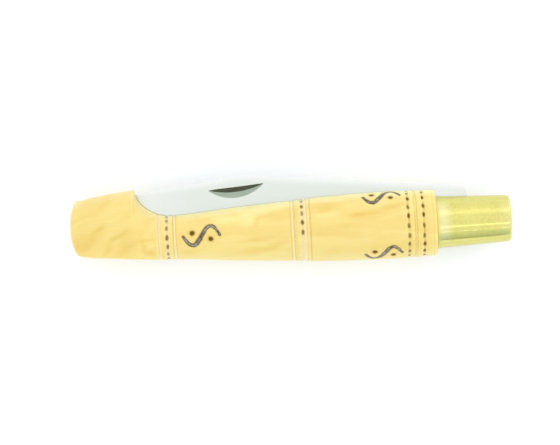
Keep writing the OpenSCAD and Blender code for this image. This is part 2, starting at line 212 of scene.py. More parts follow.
def boxwood(add):
    # Turned and sanded boxwood: pale butter yellow with a soft wandering figure, a low sheen, burnt marks
    wood = {
        "pale": "#f2e49b",
        "deep": "#dfc05e",
        "deepShare": 0.06,       # of the deep colour, before the figure adds to it
        "levelFrom": 28,         # the grain climbs through the clog and runs level from here on
        "climb": 0.75,
        "lean": 0.35,            # how much the bands slope through the handle's thickness
        "wander": 14.0,          # how far they stray, over about 17 mm along and 6 mm across
        "wanderScale": (0.06, 0.16, 0.16),
        "bands": [(0.16, 0.4), (0.5, 0.14)],  # per millimetre (6 and 2 mm wide), and strength
        "fibre": 0.22,           # real fibres are too fine to show, so they are 0.4 mm wide and 8 mm long
        "fibreScale": (0.12, 2.4, 2.4),
        "cloud": 0.2,            # clouds of 4.5 mm
        "turning": 0.9,          # lines 0.4 mm apart, which show near the ferrule
        "turningFades": (97.0, 88.0),
        "streakBend": (4.0, 2.4, 0),  # how far the wander bends a streak, along and up
        "streakReach": 1.3,      # a streak is gone at this many times its half length and width
        "streakStrength": 0.9,
        # Streaks: middle along and up, half length, half width, angle, strength (below 0 it is paler)
        "streaks": [
            (7.8, 3.3, 3.2, 1.0, 38, 0.3), (12.9, 1.2, 4.0, 1.0, 33, 0.42),
            (10.2, -2.2, 2.8, 1.1, 45, 0.36), (5.3, -0.4, 3.4, 1.4, 40, 0.2),
            (15.0, -2.2, 4.6, 2.6, 20, 0.3), (17.0, 7.6, 3.0, 1.1, 20, 0.15),
            (11.0, 8.6, 6.0, 1.8, 12, -0.14), (20.9, -0.1, 2.2, 0.7, 4, 0.34),
            (21.2, -3.5, 2.4, 0.8, -6, 0.36), (19.6, -1.8, 2.0, 0.8, 88, 0.28),
            (21.4, -1.8, 1.2, 0.8, 0, -0.15), (32.0, -4.6, 4.0, 0.9, 2, 0.25),
            (46.5, 5.4, 10.0, 3.3, -9, -0.42), (49.5, -2.2, 6.5, 0.8, 3, 0.26),
            (50.0, -4.7, 7.0, 1.0, 4, 0.34), (56.0, -3.4, 4.5, 0.9, 14, 0.26),
            (51.2, 3.2, 2.6, 1.2, 58, 0.36), (55.8, 4.9, 4.5, 0.9, 10, 0.22),
            (56.0, 3.6, 5.0, 1.8, 4, 0.14), (69.0, 5.8, 4.6, 1.6, 0, 0.3), (69.0, 3.7, 4.6, 0.9, 1, -0.25),
            (76.0, 0.7, 11.0, 1.3, 6, 0.15), (71.0, -1.2, 7.0, 1.1, 0, 0.14),
            (70.0, -6.8, 5.0, 1.4, 2, 0.16), (80.5, 3.2, 5.5, 0.8, 1, 0.32), (88.0, 4.9, 4.5, 1.1, 14, 0.3),
            (83.5, 6.0, 5.5, 1.6, 6, -0.3), (77.0, 7.4, 5.0, 0.9, 3, 0.2), (85.0, -3.1, 5.0, 0.8, 1, 0.24),
            (4.5, 0.6, 7.5, 4.6, 25, 0.26), (1.6, -1.0, 3.6, 3.2, 60, 0.18),
            (8.0, 12.4, 6.0, 1.8, 14, 0.16), (55.6, 6.6, 6.0, 2.2, 6, -0.5),
            (41.8, 3.6, 4.2, 1.8, 0, -0.26), (48.6, 2.4, 4.2, 1.5, 0, -0.24),
            (84.0, -5.8, 15.0, 2.4, 2, 0.2), (92.0, 5.6, 3.0, 4.0, 0, -0.2), (44.2, 5.3, 3.4, 1.1, 0, 0.26),
            (9.0, 9.2, 8.5, 3.0, 12, 0.18), (15.4, 1.5, 4.6, 2.6, 5, 0.16), (78.6, 2.8, 2.4, 1.2, 0, 0.24),
        ],
        # Marks: the mesh's attribute, strength, colour
        "marks": [
            # The pale mark beside the slot is a painted sheen, the dark lines are painted shade in the
            # grooves, and the gleam is a painted highlight down the strokes
            ("lip", 0.62, "#f6f6c4"), ("groove", 0.6, "#ecdcc0"), ("line", 0.15, "#a2945a"),
            ("toast", 0.45, "#c9983c"), ("scorch", 0.28, "#cb9a34"), ("burn", 0.92, "#5f4203"),
            ("char", 0.94, "#2e2410"), ("gleam", 0.75, "#bab9a4"),
        ],
        "speckled": ("gleam", "toast"),  # these break up into flecks of about 1 mm
        "dulled": (-0.6, 1.0),           # the gloss falls to none where the wood is fully burnt
    }
    place = add("ShaderNodeTexCoord", out="Object")
    place = add("ShaderNodeVectorMath", {0: place, "Scale": 1000.0}, operation="SCALE")
    butt = (buttX * 1000, axisY * 1000, axisZ * 1000)
    place = add("ShaderNodeVectorMath", [place, butt], operation="SUBTRACT")
    wander = add("ShaderNodeVectorMath", [place, wood["wanderScale"]], operation="MULTIPLY")
    wander = add("ShaderNodeTexNoise", {"Vector": wander, "Scale": 1.0, "Detail": 2.0}, "Color")
    wander = add("ShaderNodeVectorMath", [wander, (0.5, 0.5, 0.5)], operation="SUBTRACT")

    # Bands that follow the grain
    apart = add("ShaderNodeSeparateXYZ", {"Vector": place}, None).outputs
    stray = add("ShaderNodeSeparateXYZ", {"Vector": wander}, "X")
    behind = add("ShaderNodeMath", [apart["X"], wood["levelFrom"]], operation="SUBTRACT")
    behind = add("ShaderNodeMath", [behind, 0.0], operation="MINIMUM")
    band = weighedSum(add, apart["Y"], [
        (behind, -wood["climb"]), (apart["Z"], wood["lean"]), (stray, wood["wander"])])
    figure = []
    for scale, strength in wood["bands"]:
        across = add("ShaderNodeMath", [band, scale], operation="MULTIPLY")
        bands = add("ShaderNodeTexNoise", {"W": across, "Scale": 1.0, "Detail": 1.0}, noise_dimensions="1D")
        figure.append((bands, strength))
    fibre = add("ShaderNodeVectorMath", [place, wood["fibreScale"]], operation="MULTIPLY")
    fibre = add("ShaderNodeTexNoise", {"Vector": fibre, "Scale": 1.0, "Detail": 3.0})
    cloud = add("ShaderNodeTexNoise", {"Vector": place, "Scale": 0.22, "Detail": 2.0})
    figure += [(fibre, wood["fibre"]), (cloud, wood["cloud"])]

    # Fine turning marks
    turned = add("ShaderNodeTexNoise", {"W": apart["X"], "Scale": 2.6, "Detail": 2.0}, noise_dimensions="1D")
    turned = add("ShaderNodeMath", [turned, 0.5], operation="SUBTRACT")
    full, none = wood["turningFades"]
    shown = add("ShaderNodeMapRange", {
        "Value": apart["X"], "From Min": full, "From Max": none, "To Min": 1.0, "To Max": 0.0},
        interpolation_type="SMOOTHSTEP")
    turned = add("ShaderNodeMath", [turned, shown], operation="MULTIPLY")
    figure.append((turned, wood["turning"]))

    # Darker and paler streaks; the same wander keeps them from lying straight
    bent = add("ShaderNodeVectorMath", [wander, wood["streakBend"]], operation="MULTIPLY")
    bent = add("ShaderNodeVectorMath", [bent, place], operation="ADD")
    for along, up, length, width, angle, strength in wood["streaks"]:
        away = add("ShaderNodeMapping", {
            "Vector": bent, "Location": (along, up, 0), "Rotation": (0, 0, math.radians(angle)),
            "Scale": (length, width, 100)}, vector_type="TEXTURE")
        away = add("ShaderNodeVectorMath", [away], "Value", operation="LENGTH")
        near = add("ShaderNodeMapRange", {
            "Value": away, "From Min": 0.0, "From Max": wood["streakReach"], "To Min": 1.0, "To Max": 0.0},
            interpolation_type="SMOOTHSTEP")
        figure.append((near, strength * wood["streakStrength"]))
    coats = [(weighedSum(add, wood["deepShare"], figure), 1.0, wood["deep"])]

    speckle = add("ShaderNodeTexNoise", {"Vector": place, "Scale": 0.9, "Detail": 4.0})
    speckle = add("ShaderNodeMapRange", {"Value": speckle, "From Min": 0.42, "From Max": 0.6})
    for attribute, strength, colour in wood["marks"]:
        share = add("ShaderNodeAttribute", out="Fac", attribute_name=attribute)
        if attribute in wood["speckled"]:
            share = add("ShaderNodeMath", [share, speckle], operation="MULTIPLY")
        if attribute == "burn":
            burnt = share
        coats.append((share, strength, colour))
    full, none = wood["dulled"]
    gloss = add("ShaderNodeMapRange", {
        "Value": burnt, "From Min": full, "From Max": none, "To Min": 1.0, "To Max": 0.0},
        interpolation_type="SMOOTHSTEP")
    bump = add("ShaderNodeBump", {"Height": fibre, "Strength": 0.08, "Distance": 0.0002})
    return {"Base Color": layered(add, wood["pale"], coats), "Roughness": 0.36, "Specular IOR Level": gloss,
            "Subsurface Weight": 0.5, "Subsurface Radius": (1.0, 0.7, 0.3), "Subsurface Scale": 0.002,
            "Normal": bump}


def sawnBoxwood(add):
    # The slot's walls as the saw left them, dull, with strokes 1.1 mm apart, and paler than the turned
    # outside: partly raw sawn wood, partly painted light that lifts the shade inside the slot
    place = add("ShaderNodeTexCoord", out="Object")
    strokes = add("ShaderNodeTexNoise", {"Vector": place, "Scale": 900.0, "Detail": 2.0})
    return {"Base Color": layered(add, "#fdf6de", [(strokes, 1.0, "#f6ebc4")]), "Roughness": 0.8}


def nickSteel(add):
    # The nick's steep side is painted dark, as painted shade for the shadow and dark reflection it holds,
    # mottled over 0.7 mm
    place = add("ShaderNodeTexCoord", out="Object")
    spots = add("ShaderNodeTexNoise", {"Vector": place, "Scale": 1500.0, "Detail": 2.0})
    tone = layered(add, "#3d4236", [(spots, 1.0, "#5a6050")])
    return {"Base Color": tone, "Metallic": 0.6, "Roughness": 0.55}


def nickGround(add):
    # The nick's long side, left dull by a coarse wheel with lines 0.4 mm wide and 3 mm long
    place = add("ShaderNodeTexCoord", out="Object")
    drawn = add("ShaderNodeMapping", {"Vector": place, "Scale": (300, 2500, 2500)})
    lines = add("ShaderNodeTexNoise", {"Vector": drawn, "Scale": 1.0, "Detail": 3.0})
    tone = layered(add, "#93a093", [(lines, 1.0, "#adb9ac")])
    return {"Base Color": tone, "Metallic": 1.0, "Roughness": 0.5}


def bladeSteel(add):
    # Carbon steel ground across with a fine wheel: pale, slightly green-grey, brighter along its worn back
    # and painted lighter towards the tip and the heel, as painted light against the shade near the clog and
    # the ferrule.
    # The wheel's lines are too fine to show, so they are drawn 0.3 mm apart; the stains are 8 mm wide
    place = add("ShaderNodeTexCoord", out="Object")
    across = add("ShaderNodeMapping", {"Vector": place, "Scale": (1000, 60, 60)})
    lines = add("ShaderNodeTexNoise", {"Vector": across, "Scale": 3.0, "Detail": 3.0})
    stain = add("ShaderNodeTexNoise", {"Vector": place, "Scale": 120.0, "Detail": 3.0})
    worn = add("ShaderNodeAttribute", out="Fac", attribute_name="worn")
    tone = layered(add, "#d7dfd7", [(stain, 1.0, "#dde3dd"), (worn, 0.85, "#eef0ee")])
    rough = add("ShaderNodeMapRange", {"Value": lines, "To Min": 0.12, "To Max": 0.2})
    bump = add("ShaderNodeBump", {"Height": lines, "Strength": 0.06, "Distance": 0.0001})
    return {"Base Color": tone, "Metallic": 0.8, "Roughness": rough, "Normal": bump}


def ferruleBrass(add):
    # Drawn brass tube: brushed along its length, with a thin greenish tarnish in small spots.
    # Its lines are too fine to show, so they are 0.3 mm wide; the spots are 0.9 mm and lie in 6 mm patches
    place = add("ShaderNodeTexCoord", out="Object")
    drawn = add("ShaderNodeMapping", {"Vector": place, "Scale": (120, 3500, 3500)})
    lines = add("ShaderNodeTexNoise", {"Vector": drawn, "Scale": 1.0, "Detail": 3.0})
    spots = add("ShaderNodeTexNoise", {"Vector": place, "Scale": 1100.0, "Detail": 4.0, "Roughness": 0.7})
    patch = add("ShaderNodeTexNoise", {"Vector": place, "Scale": 160.0, "Detail": 2.0})
    specks = add("ShaderNodeMapRange", {"Value": spots, "From Min": 0.25, "From Max": 0.75})
    tarnish = add("ShaderNodeMath", [specks, patch], operation="MULTIPLY")
    # The rubbed band is partly painted light, and the darkened sides are painted shade
    rubbed, painted_edge_shade, scuffed = [add("ShaderNodeAttribute", out="Fac", attribute_name=name)
                             for name in ("rubbed", "painted_edge_shade", "scuffed")]
    tone = layered(add, "#e8df88", [(tarnish, 2.0, "#d3cd7a"), (lines, 0.3, "#d9cf6e"),
                                    (rubbed, 0.72, "#eeeab2"), (painted_edge_shade, 0.5, "#cac472")])
    rough = add("ShaderNodeMapRange", {"Value": spots, "To Min": 0.09, "To Max": 0.22})
    height = weighedSum(add, lines, [(spots, 0.5)])
    bump = add("ShaderNodeBump", {"Height": height, "Strength": 0.08, "Distance": 0.00005})
    return {"Base Color": tone, "Metallic": 1.0, "Roughness": weighedSum(add, rough, [(scuffed, 0.3)]),
            "Normal": bump}


def pinSteel(add):
    # Plain steel wire, cut flush, with a grain of half a millimetre
    place = add("ShaderNodeTexCoord", out="Object")
    grain = add("ShaderNodeTexNoise", {"Vector": place, "Scale": 2000.0})
    rough = add("ShaderNodeMapRange", {"Value": grain, "To Min": 0.3, "To Max": 0.5})
    return {"Base Color": toLinear("#b9bcc0"), "Metallic": 1.0, "Roughness": rough}


# Curves shared by the blade and by the slot that it folds into

blade = {
    "thickness": 2.0,
    "edgeThickness": 0.16,
    "pinHole": 1.3,
    "tangRadius": 3.373,
    "tangRound": 2.2,        # past this the tang's top steps up to its back
    "tangBack": 4.6,
    "neck": -3.154,
    "neckAt": 5.5,
    "kickGap": 4.8,          # from the kick to the heel
    "kickRise": 0.2,
    "shoulder": 5.65,
    "backStart": 7.35,
    "backHeight": 7.5,
    "backAngle": 6.1,
    "tip": 98.9,
    "clipLength": 32.0,
    "clipDrop": 3.7,
    "clipHollow": 0.3,
    "peakEasing": 4.0,       # the peak is eased over this length to each side
    "bellyLength": 41.0,
    "bellyPull": (0.42, 0.22),  # how far the belly holds its direction at each end
    "bellyDrop": 9.3,
    "width": 17.1,
    "heel": 18.0,
    "heelWidth": 15.4,
    "grindFrom": 0.6,        # the grind starts this far behind the heel, over twice that length
    "grindWidth": 13.0,      # where the blade is narrower, it leans as if it were this wide
    "strip": 2.2,            # full thickness along the back
    "backBreak": 0.15,       # the back's two edges are just broken
    "wornBand": 2.1,         # brighter from use along the back; both ends of the side are painted lighter, as painted light
    "paintedLightTip": (78, 32, 0.5),  # it starts here, grows by 1 over this length and stops at this share
    "paintedLightHeel": (26, 20, 0.4),
    "stations": 340,
    "acrossSteps": 22,
}

backSlope = math.tan(math.radians(blade["backAngle"]))
backCos = math.cos(math.radians(blade["backAngle"]))
clipStart = blade["tip"] - blade["clipLength"]
bellyStart = blade["tip"] - blade["bellyLength"]


def backLine(s):
    return blade["backHeight"] + backSlope * (s - blade["backStart"])


def clipLine(s):
    q = (s - clipStart) / blade["clipLength"]
    return backLine(clipStart) - blade["clipDrop"] * (q + blade["clipHollow"] * q * (1 - q))


tipHeight = clipLine(blade["tip"])
heelHeight = backLine(blade["heel"]) - blade["heelWidth"] / backCos
bellyHeight = backLine(bellyStart) - blade["width"] / backCos
edgeSlope = (bellyHeight - heelHeight) / (bellyStart - blade["heel"])


def bellyCurve(count):
    q = np.linspace(0, 1, count)[:, None]
    reach = blade["bellyLength"]
    first, last = blade["bellyPull"]
    a = np.array([bellyStart, bellyHeight])
    b = a + np.array([first * reach, first * reach * edgeSlope])
    c = np.array([blade["tip"] - last * reach, tipHeight - blade["bellyDrop"]])
    d = np.array([blade["tip"], tipHeight])
    return a * (1 - q) ** 3 + 3 * b * q * (1 - q) ** 2 + 3 * c * q ** 2 * (1 - q) + d * q ** 3


def topOfBlade(s):
    # Height of the back, or of the tang's top, at each distance s from the pivot
    tang, back, step = blade["tangRadius"], blade["tangBack"], blade["tangRound"]
    q = np.clip((s - blade["shoulder"]) / (blade["backStart"] - blade["shoulder"]), 0, 1)
    rise = back + (blade["backHeight"] - back) * np.sqrt(1 - (1 - q) ** 2)
    out = np.where(s < 0, np.sqrt(np.clip(tang ** 2 - s ** 2, 0, None)), tang)
    out = np.where(s > step, tang + (back - tang) * np.clip(s - step, 0, 1), out)
    out = np.where(s > blade["shoulder"], rise, out)
    out = np.where(s > blade["backStart"], backLine(s), out)
    soft = blade["peakEasing"]
    q = np.clip((s - clipStart + soft) / (2 * soft), 0, 1)
    eased = ((1 - q) ** 2 * backLine(clipStart - soft) + 2 * q * (1 - q) * backLine(clipStart)
             + q ** 2 * clipLine(clipStart + soft))
    out = np.where(s > clipStart - soft, eased, out)
    return np.where(s > clipStart + soft, clipLine(s), out)


def bottomOfBlade(s):
    tang, heel = blade["tangRadius"], blade["heel"]
    curve = bellyCurve(80)
    knots = [0, blade["neckAt"], heel - blade["kickGap"], heel] + curve[:, 0].tolist()
    heights = [-tang, blade["neck"], blade["kickRise"] - blade["tangBack"], heelHeight] + curve[:, 1].tolist()
    out = np.interp(s, knots, heights)
    return np.where(s < 0, -np.sqrt(np.clip(tang ** 2 - s ** 2, 0, None)), out)


# Handle: one piece of turned wood, its clog end sanded flat on both sides and underneath

handle = {
    "length": 99.2,
    "waistAt": 27.0,
    "coveLength": 9.4,
    "covePower": 1.85,
    "coveRun": 6,            # how steeply the cove's curve is carried on behind the clog's top corner
    "cornerHeight": 13.6,
    "cornerPower": 40,       # the corner is worn round; a higher power is sharper
    "buttHeight": 11.5,
    "buttAt": 2.5,           # the butt's outline is taken here
    "clogFrom": 6,           # up to here the butt's rounding leads over to the clog's sides
    "buttRound": (1.2, 1.0),  # everywhere, and what the flat sides add
    "buttDome": (2.9, 25, 50, 120),  # middle of the dome, and how slowly it falls: down, up and sideways
    "topFrom": 2.3,
    "topBulge": 0.1,
    "halfThickness": 9.25,
    "soleRise": 2.3,
    "soleStep": 0.12,
    "flatPower": 9,          # the edges round the flat sides and the sole, sharper towards the waist
    "waistPower": 60,
    "knots": [(27.0, 6.05), (45.0, 7.35), (58.9, 8.2), (68.4, 8.85), (87.2, 9.25), (99.2, 8.95)],
    "lines": [23.9, 27.9, 28.7, 59.8, 60.7, 64.1, 65.1, 93.2, 93.8],
    "lineWidth": 0.5,
    "lineDepth": 0.22,
    "dotRings": [26.2, 62.95, 91.6, 95.7],
    "ringWidth": 1.0,
    "ringDepth": 0.2,
    # Where the surface is pale, painted darker as shade in the grooves, or toasted: places, and the reach to
    # each side
    "paleLines": ([24.0, 28.4, 60.3, 63.95], 0.6),
    "paleRings": ([26.2, 62.95], 0.9),
    "grooveShadeLines": ([61.05, 65.0, 93.7], 0.45),
    "toastRings": ([91.6, 95.7], 0.6),
    "shoulderRound": 0.3,
    # The tenon in (distance past the shoulder, radius), with a groove for the ferrule's bead
    "tenon": [(0, 6.6), (0, 6.14), (2.2, 6.05), (2.5, 5.7), (3.6, 5.66), (3.9, 5.98), (19.9, 5.36),
              (20.3, 4.96), (20.3, 3.0)],
    "slotWidth": 2.3,
    "slotClear": 0.8,        # between the folded edge and the slot's floor
    "slotEasing": 0.4,       # the slot's two edges are sanded off this much
    "around": 240,
}


def softMin(a, b, power):
    return (a ** -power + b ** -power) ** (-1 / power)


def turnedRadius(x):
    knots = np.array(handle["knots"])
    xs, rs = knots[:, 0], knots[:, 1]
    slopes = [0.0]
    for i in range(1, len(xs) - 1):
        peak = (rs[i + 1] - rs[i]) * (rs[i] - rs[i - 1]) <= 0
        slopes.append(0.0 if peak else (rs[i + 1] - rs[i - 1]) / (xs[i + 1] - xs[i - 1]))
    slopes.append(2 * (rs[-1] - rs[-2]) / (xs[-1] - xs[-2]))
    slopes = np.array(slopes)
    i = np.clip(np.searchsorted(xs, x) - 1, 0, len(xs) - 2)
    w = xs[i + 1] - xs[i]
    t = np.clip((x - xs[i]) / w, 0, 1)
    body = (rs[i] * (2 * t ** 3 - 3 * t ** 2 + 1) + rs[i + 1] * (3 * t ** 2 - 2 * t ** 3)
            + w * (slopes[i] * (t ** 3 - 2 * t ** 2 + t) + slopes[i + 1] * (t ** 3 - t ** 2)))
    corner, butt = handle["cornerHeight"], handle["buttHeight"]
    waistAt, waist = handle["waistAt"], handle["knots"][0][1]
    q = np.clip((waistAt - x) / handle["coveLength"], 0, 1)
    power = handle["covePower"]
    cove = corner - (corner - waist) * (1 - q ** power) ** (1 / power)
    clogEnd = waistAt - handle["coveLength"]
    q = (x - handle["topFrom"]) / (clogEnd - handle["topFrom"])
    top = butt + (corner - butt) * q + handle["topBulge"] * 4 * q * (1 - q)
    cove = cove + handle["coveRun"] * np.clip(clogEnd - x, 0, None)
    clog = softMin(top, cove, handle["cornerPower"])
    return np.where(x < waistAt, np.where(x < clogEnd + 2, clog, cove), body)


def grooveDepth(x):
    depth = np.zeros_like(x)
    for place in handle["lines"]:
        q = np.clip(1 - np.abs(x - place) / (handle["lineWidth"] / 2), 0, 1)
        depth = np.maximum(depth, handle["lineDepth"] * q)
    for place in handle["dotRings"]:
        q = np.clip(2 - 2 * np.abs(x - place) / (handle["ringWidth"] / 2), 0, 1)
        depth = np.maximum(depth, handle["ringDepth"] * q * q * (3 - 2 * q))
    return depth


def woodRadius(x, angle):
    # angle is 0 towards the blade's back and a quarter turn towards the upper side
    farOff = 200
    waistAt, waist = handle["waistAt"], handle["knots"][0][1]
    radius = turnedRadius(x) - grooveDepth(x)
    sideways = np.abs(np.sin(angle)) + 1e-9
    flat = np.minimum(handle["halfThickness"] / sideways, farOff)
    radius = np.where(x < waistAt, softMin(radius, flat, handle["flatPower"]), radius)
    down = -np.cos(angle)
    soleHeight = waist + handle["soleStep"] - (waistAt - x) * handle["soleRise"] / waistAt
    sole = np.where(down > 0.02, soleHeight / np.maximum(down, 0.02), farOff)
    power = handle["flatPower"] + handle["waistPower"] * np.clip(x / waistAt, 0, 1) ** 5
    return np.where(x < waistAt, softMin(radius, np.minimum(sole, farOff), power), radius)


def buttDome(y, z):
    middle, down, up, sideways = handle["buttDome"]
    low = np.clip(middle - y, 0, None)
    high = np.clip(y - middle, 0, None)
    return low ** 2 / down + high ** 2 / up + z ** 2 / sideways


def handleStations():
    # Closer together in the cove, under the waves, in the grooves and under the dots
    places = set(np.arange(handle["clogFrom"], handle["length"], 0.9).round(3))
    for first, last, step in ((16, 27, 0.3), (30, 43, 0.24), (77, 91, 0.24)):
        places |= set(np.arange(first, last, step).round(3))
    for place in handle["lines"]:
        places |= {round(place + d, 3) for d in (-0.3, -0.25, -0.17, -0.08, 0, 0.08, 0.17, 0.25, 0.3)}
    for place in handle["dotRings"]:
        places |= {round(place + d, 3) for d in np.linspace(-0.65, 0.65, 14)}
    kept = []
    for x in sorted(places):
        if x < handle["length"] - handle["shoulderRound"] and (not kept or x - kept[-1] > 0.05):
            kept.append(x)
    return np.array(kept)


def handleRings():
    angle = (np.arange(handle["around"]) / handle["around"] * 2 * math.pi)[None, :]
    rings = []

    def addRing(x, radius):
        x = np.broadcast_to(x, radius.shape)
        rings.append(np.stack([x, radius * np.cos(angle), radius * np.sin(angle)], -1)[0])

    # The butt's domed face, its rounded edge, and a stretch that leads over to the clog's sides
    clogFrom = handle["clogFrom"]
    least, atSides = handle["buttRound"]
    rounding = least + atSides * np.sin(angle) ** 2
    edge = woodRadius(np.full_like(angle, handle["buttAt"]), angle)
    face = edge - rounding
    for k in range(1, 9):
        radius = face * k / 8
        addRing(buttDome(radius * np.cos(angle), radius * np.sin(angle)), radius)
    for turn in np.linspace(0, math.pi / 2, 9)[1:]:
        radius = face + rounding * math.sin(turn)
        dome = buttDome(radius * np.cos(angle), radius * np.sin(angle))
        addRing(dome + rounding * (1 - math.cos(turn)), radius)
    start = buttDome(edge * np.cos(angle), edge * np.sin(angle)) + rounding
    for q in np.linspace(0, 1, 9)[1:]:
        x = start + (clogFrom - start) * q
        radius = woodRadius(x, angle)
        fade = (1 - q) ** 2  # meets the rounding without a step
        addRing(x, radius * (1 - fade) + edge * fade)

    for x in handleStations():
        if x > clogFrom + 0.01:
            addRing(x, woodRadius(np.full_like(angle, x), angle))
    rounded = handle["shoulderRound"]
    shoulder = handle["length"] - rounded
    end = float(turnedRadius(np.array([shoulder]))[0])
    for turn in np.linspace(0, math.pi / 2, 7):
        radius = np.full_like(angle, end - rounded * (1 - math.cos(turn)))
        addRing(shoulder + rounded * math.sin(turn), radius)
    for along, radius in handle["tenon"]:
        addRing(handle["length"] + along, np.full_like(angle, radius))
    return rings


def makeHandle():
    mesh = meshFromRings("handle_wood", handleRings())
    wood = newMaterial("turned_boxwood", boxwood)
    mesh.materials.append(wood)

    def nearest(places, given):
        centres, reach = given
        away = np.abs(places[:, :1] - np.array(centres)[None, :]).min(1)
        return np.clip(1 - away / reach, 0, 1)

    def lip(p):
        # Painted sheen: the wood beside the slot is painted pale for the sheen that grazing light and the
        # blade's reflection give it, less so in the clog, where only the slot's edges get it
        below = np.clip(1 - (turnedRadius(p[:, 0]) - p[:, 1]) / 2.0, 0, 1)
        edges = 1.5 * np.clip(1.6 - np.abs(p[:, 2]) / 2.0, 0, 1)
        along = np.maximum(np.clip((p[:, 0] - 8) / 28, 0, 1), edges)
        return below * np.clip((p[:, 0] - 18) / 1.5, 0, 1) * along

    store(mesh, "groove", lambda p: np.maximum(
        nearest(p, handle["paleLines"]), nearest(p, handle["paleRings"])))
    store(mesh, "toast", lambda p: nearest(p, handle["toastRings"]))
    store(mesh, "lip", lip)
    # The thin dark lines beside the grooves are painted shade
    store(mesh, "line", lambda p: nearest(p, handle["grooveShadeLines"]))
    obj = newObject("handle_wood", mesh)

    # The slot follows the folded blade and is open past the tenon's end
    clear, ahead, beyond, above = handle["slotClear"], 1.0, 121.0, 30.0
    floor = pinY - blade["tangBack"] - 0.05  # just under the folded tang
    heel = blade["heel"]
    slotBack = pinX - blade["tip"] - clear
    outline = [(beyond, above), (beyond, floor), (pinX - (heel - blade["kickGap"]) + ahead, floor)]
    outline += [(pinX - heel + ahead, pinY + heelHeight - clear)]
    outline += [(pinX - s - clear, pinY + t - clear) for s, t in bellyCurve(30)]
    outline += [(slotBack, above)]
    half = handle["slotWidth"] / 2
    slotSpace = prism("slot_space", outline, -half, half)
    # The slot's walls are painted paler, partly as painted light in the slot's shade
    slotSpace.data.materials.append(newMaterial("sawn_lit_boxwood", sawnBoxwood))
    cutWith(obj, slotSpace)

    easing, proud = handle["slotEasing"], 1.0
    rings = []
    for x in np.arange(slotBack, handle["length"] + 1, 0.25):
        top = float(turnedRadius(np.array([min(x, handle["length"])]))[0])
        low, wide = top - easing, half + easing + proud
        rings.append([[x, low, half], [x, top + proud, wide], [x, top + proud, -wide], [x, low, -half]])
    wedge = meshFromRings("slot_easing", rings)
    wedge.materials.append(wood)
    cutWith(obj, newObject("slot_easing", wedge))
    outward(obj.data)  # closes the seams that the two cuts leave along the slot
    return obj


# Burnt marks: rings of small dots in the wide grooves, and waves with a dot in each hollow

marks = {
    # place along the handle, dots round it, turn of the first one in degrees, heat, share left bare below
    "rings": [(26.2, 15, 0.0, 0.78, 0.0), (62.95, 20, 3.5, 0.8, 1.0), (91.52, 21, 3.2, 1.05, 0.0),
              (95.6, 20, 3.3, 1.05, 0.0)],
    "bareBelow": (1.2, 2.4),  # a bare ring's dots fade between these depths under the axis
    "dotRadius": 0.76,       # around the handle; along it a dot is shorter
    "dotSquash": 1.85,
    "dotStray": 0.15,
    "ragged": 0.42,          # how far the edges of a mark wander, over 0.9 mm
    "strokeHalfWidth": 0.56,
    "strokeSteps": 41,
    "waveLength": 10.0,
    "waveHeight": 2.6,
    "waveDot": (2.5, 0.9),
    "depth": 0.12,
    "seed": 7,
    # Where each mark is full and where it is gone, in sizes of the hot tip from the tip's middle
    "fades": {
        "burn": {"ring": (0.6, 1.2), "dot": (0.6, 1.2)},
        "char": {"stroke": (0.8, 1.25)},
        # The gleam is a painted highlight down the middle of each stroke
        "gleam": {"stroke": (0.15, 0.6)},
        "scorch": {"ring": (0.9, 1.5), "stroke": (0.9, 2.0), "dot": (0.9, 1.8)},
    },
    # centre along the handle, and angle round it from the blade's back towards the upper side
    "waves": [(35.6, 90.0), (84.6, 31.0), (84.6, 146.0), (84.6, 268.0)],
}


def onWood(x, angle):
    radius = woodRadius(np.array([x]), np.array([angle]))[0]
    return toFrame([x, radius * math.cos(angle), radius * math.sin(angle)]).tolist()


def markSources():
    # Lines for the strokes, loose points for the dots, and one point with its sizes for each ring
    strokes, edges, dots = [], [], []
    steps = marks["strokeSteps"]
    for middle, degrees in marks["waves"]:
        centre = math.radians(degrees)
        radius = float(turnedRadius(np.array([middle]))[0])
        for i, q in enumerate(np.linspace(-1, 1, steps)):
            along, up = q * marks["waveLength"] / 2, marks["waveHeight"] * math.sin(math.pi * q)
            if i:
                edges.append((len(strokes) - 1, len(strokes)))
            strokes.append(onWood(middle + along, centre - up / radius))
        along, up = marks["waveDot"]
        for side in (-1, 1):
            dots.append(onWood(middle + side * along, centre + side * up / radius))
    places, counts, turns, heats, bares = zip(*marks["rings"])
    centres = toFrame([(x, 0, 0) for x in places]).tolist()
    made = []
    for name, points, lines in (("strokes", strokes, edges), ("dots", dots, []), ("rings", centres, [])):
        mesh = bpy.data.meshes.new(name)
        mesh.from_pydata(points, lines, [])
        made.append(newObject(name, mesh))
    # A stroke starts thin, swells and thins out again
    q = np.tile(np.linspace(0, 1, steps), len(marks["waves"]))
    radii = [float(turnedRadius(np.array([x]))[0] - handle["ringDepth"]) / 1000 for x in places]
    for source, name, values in ((0, "width", 0.62 + 0.45 * np.sin(math.pi * q ** 0.8)), (2, "radius", radii),
                                 (2, "count", counts), (2, "turn", np.radians(turns)), (2, "heat", heats),
                                 (2, "bare", bares)):
        column = made[source].data.attributes.new(name, "FLOAT", "POINT")
        column.data.foreach_set("value", np.array(values, dtype=np.float32))
    return made


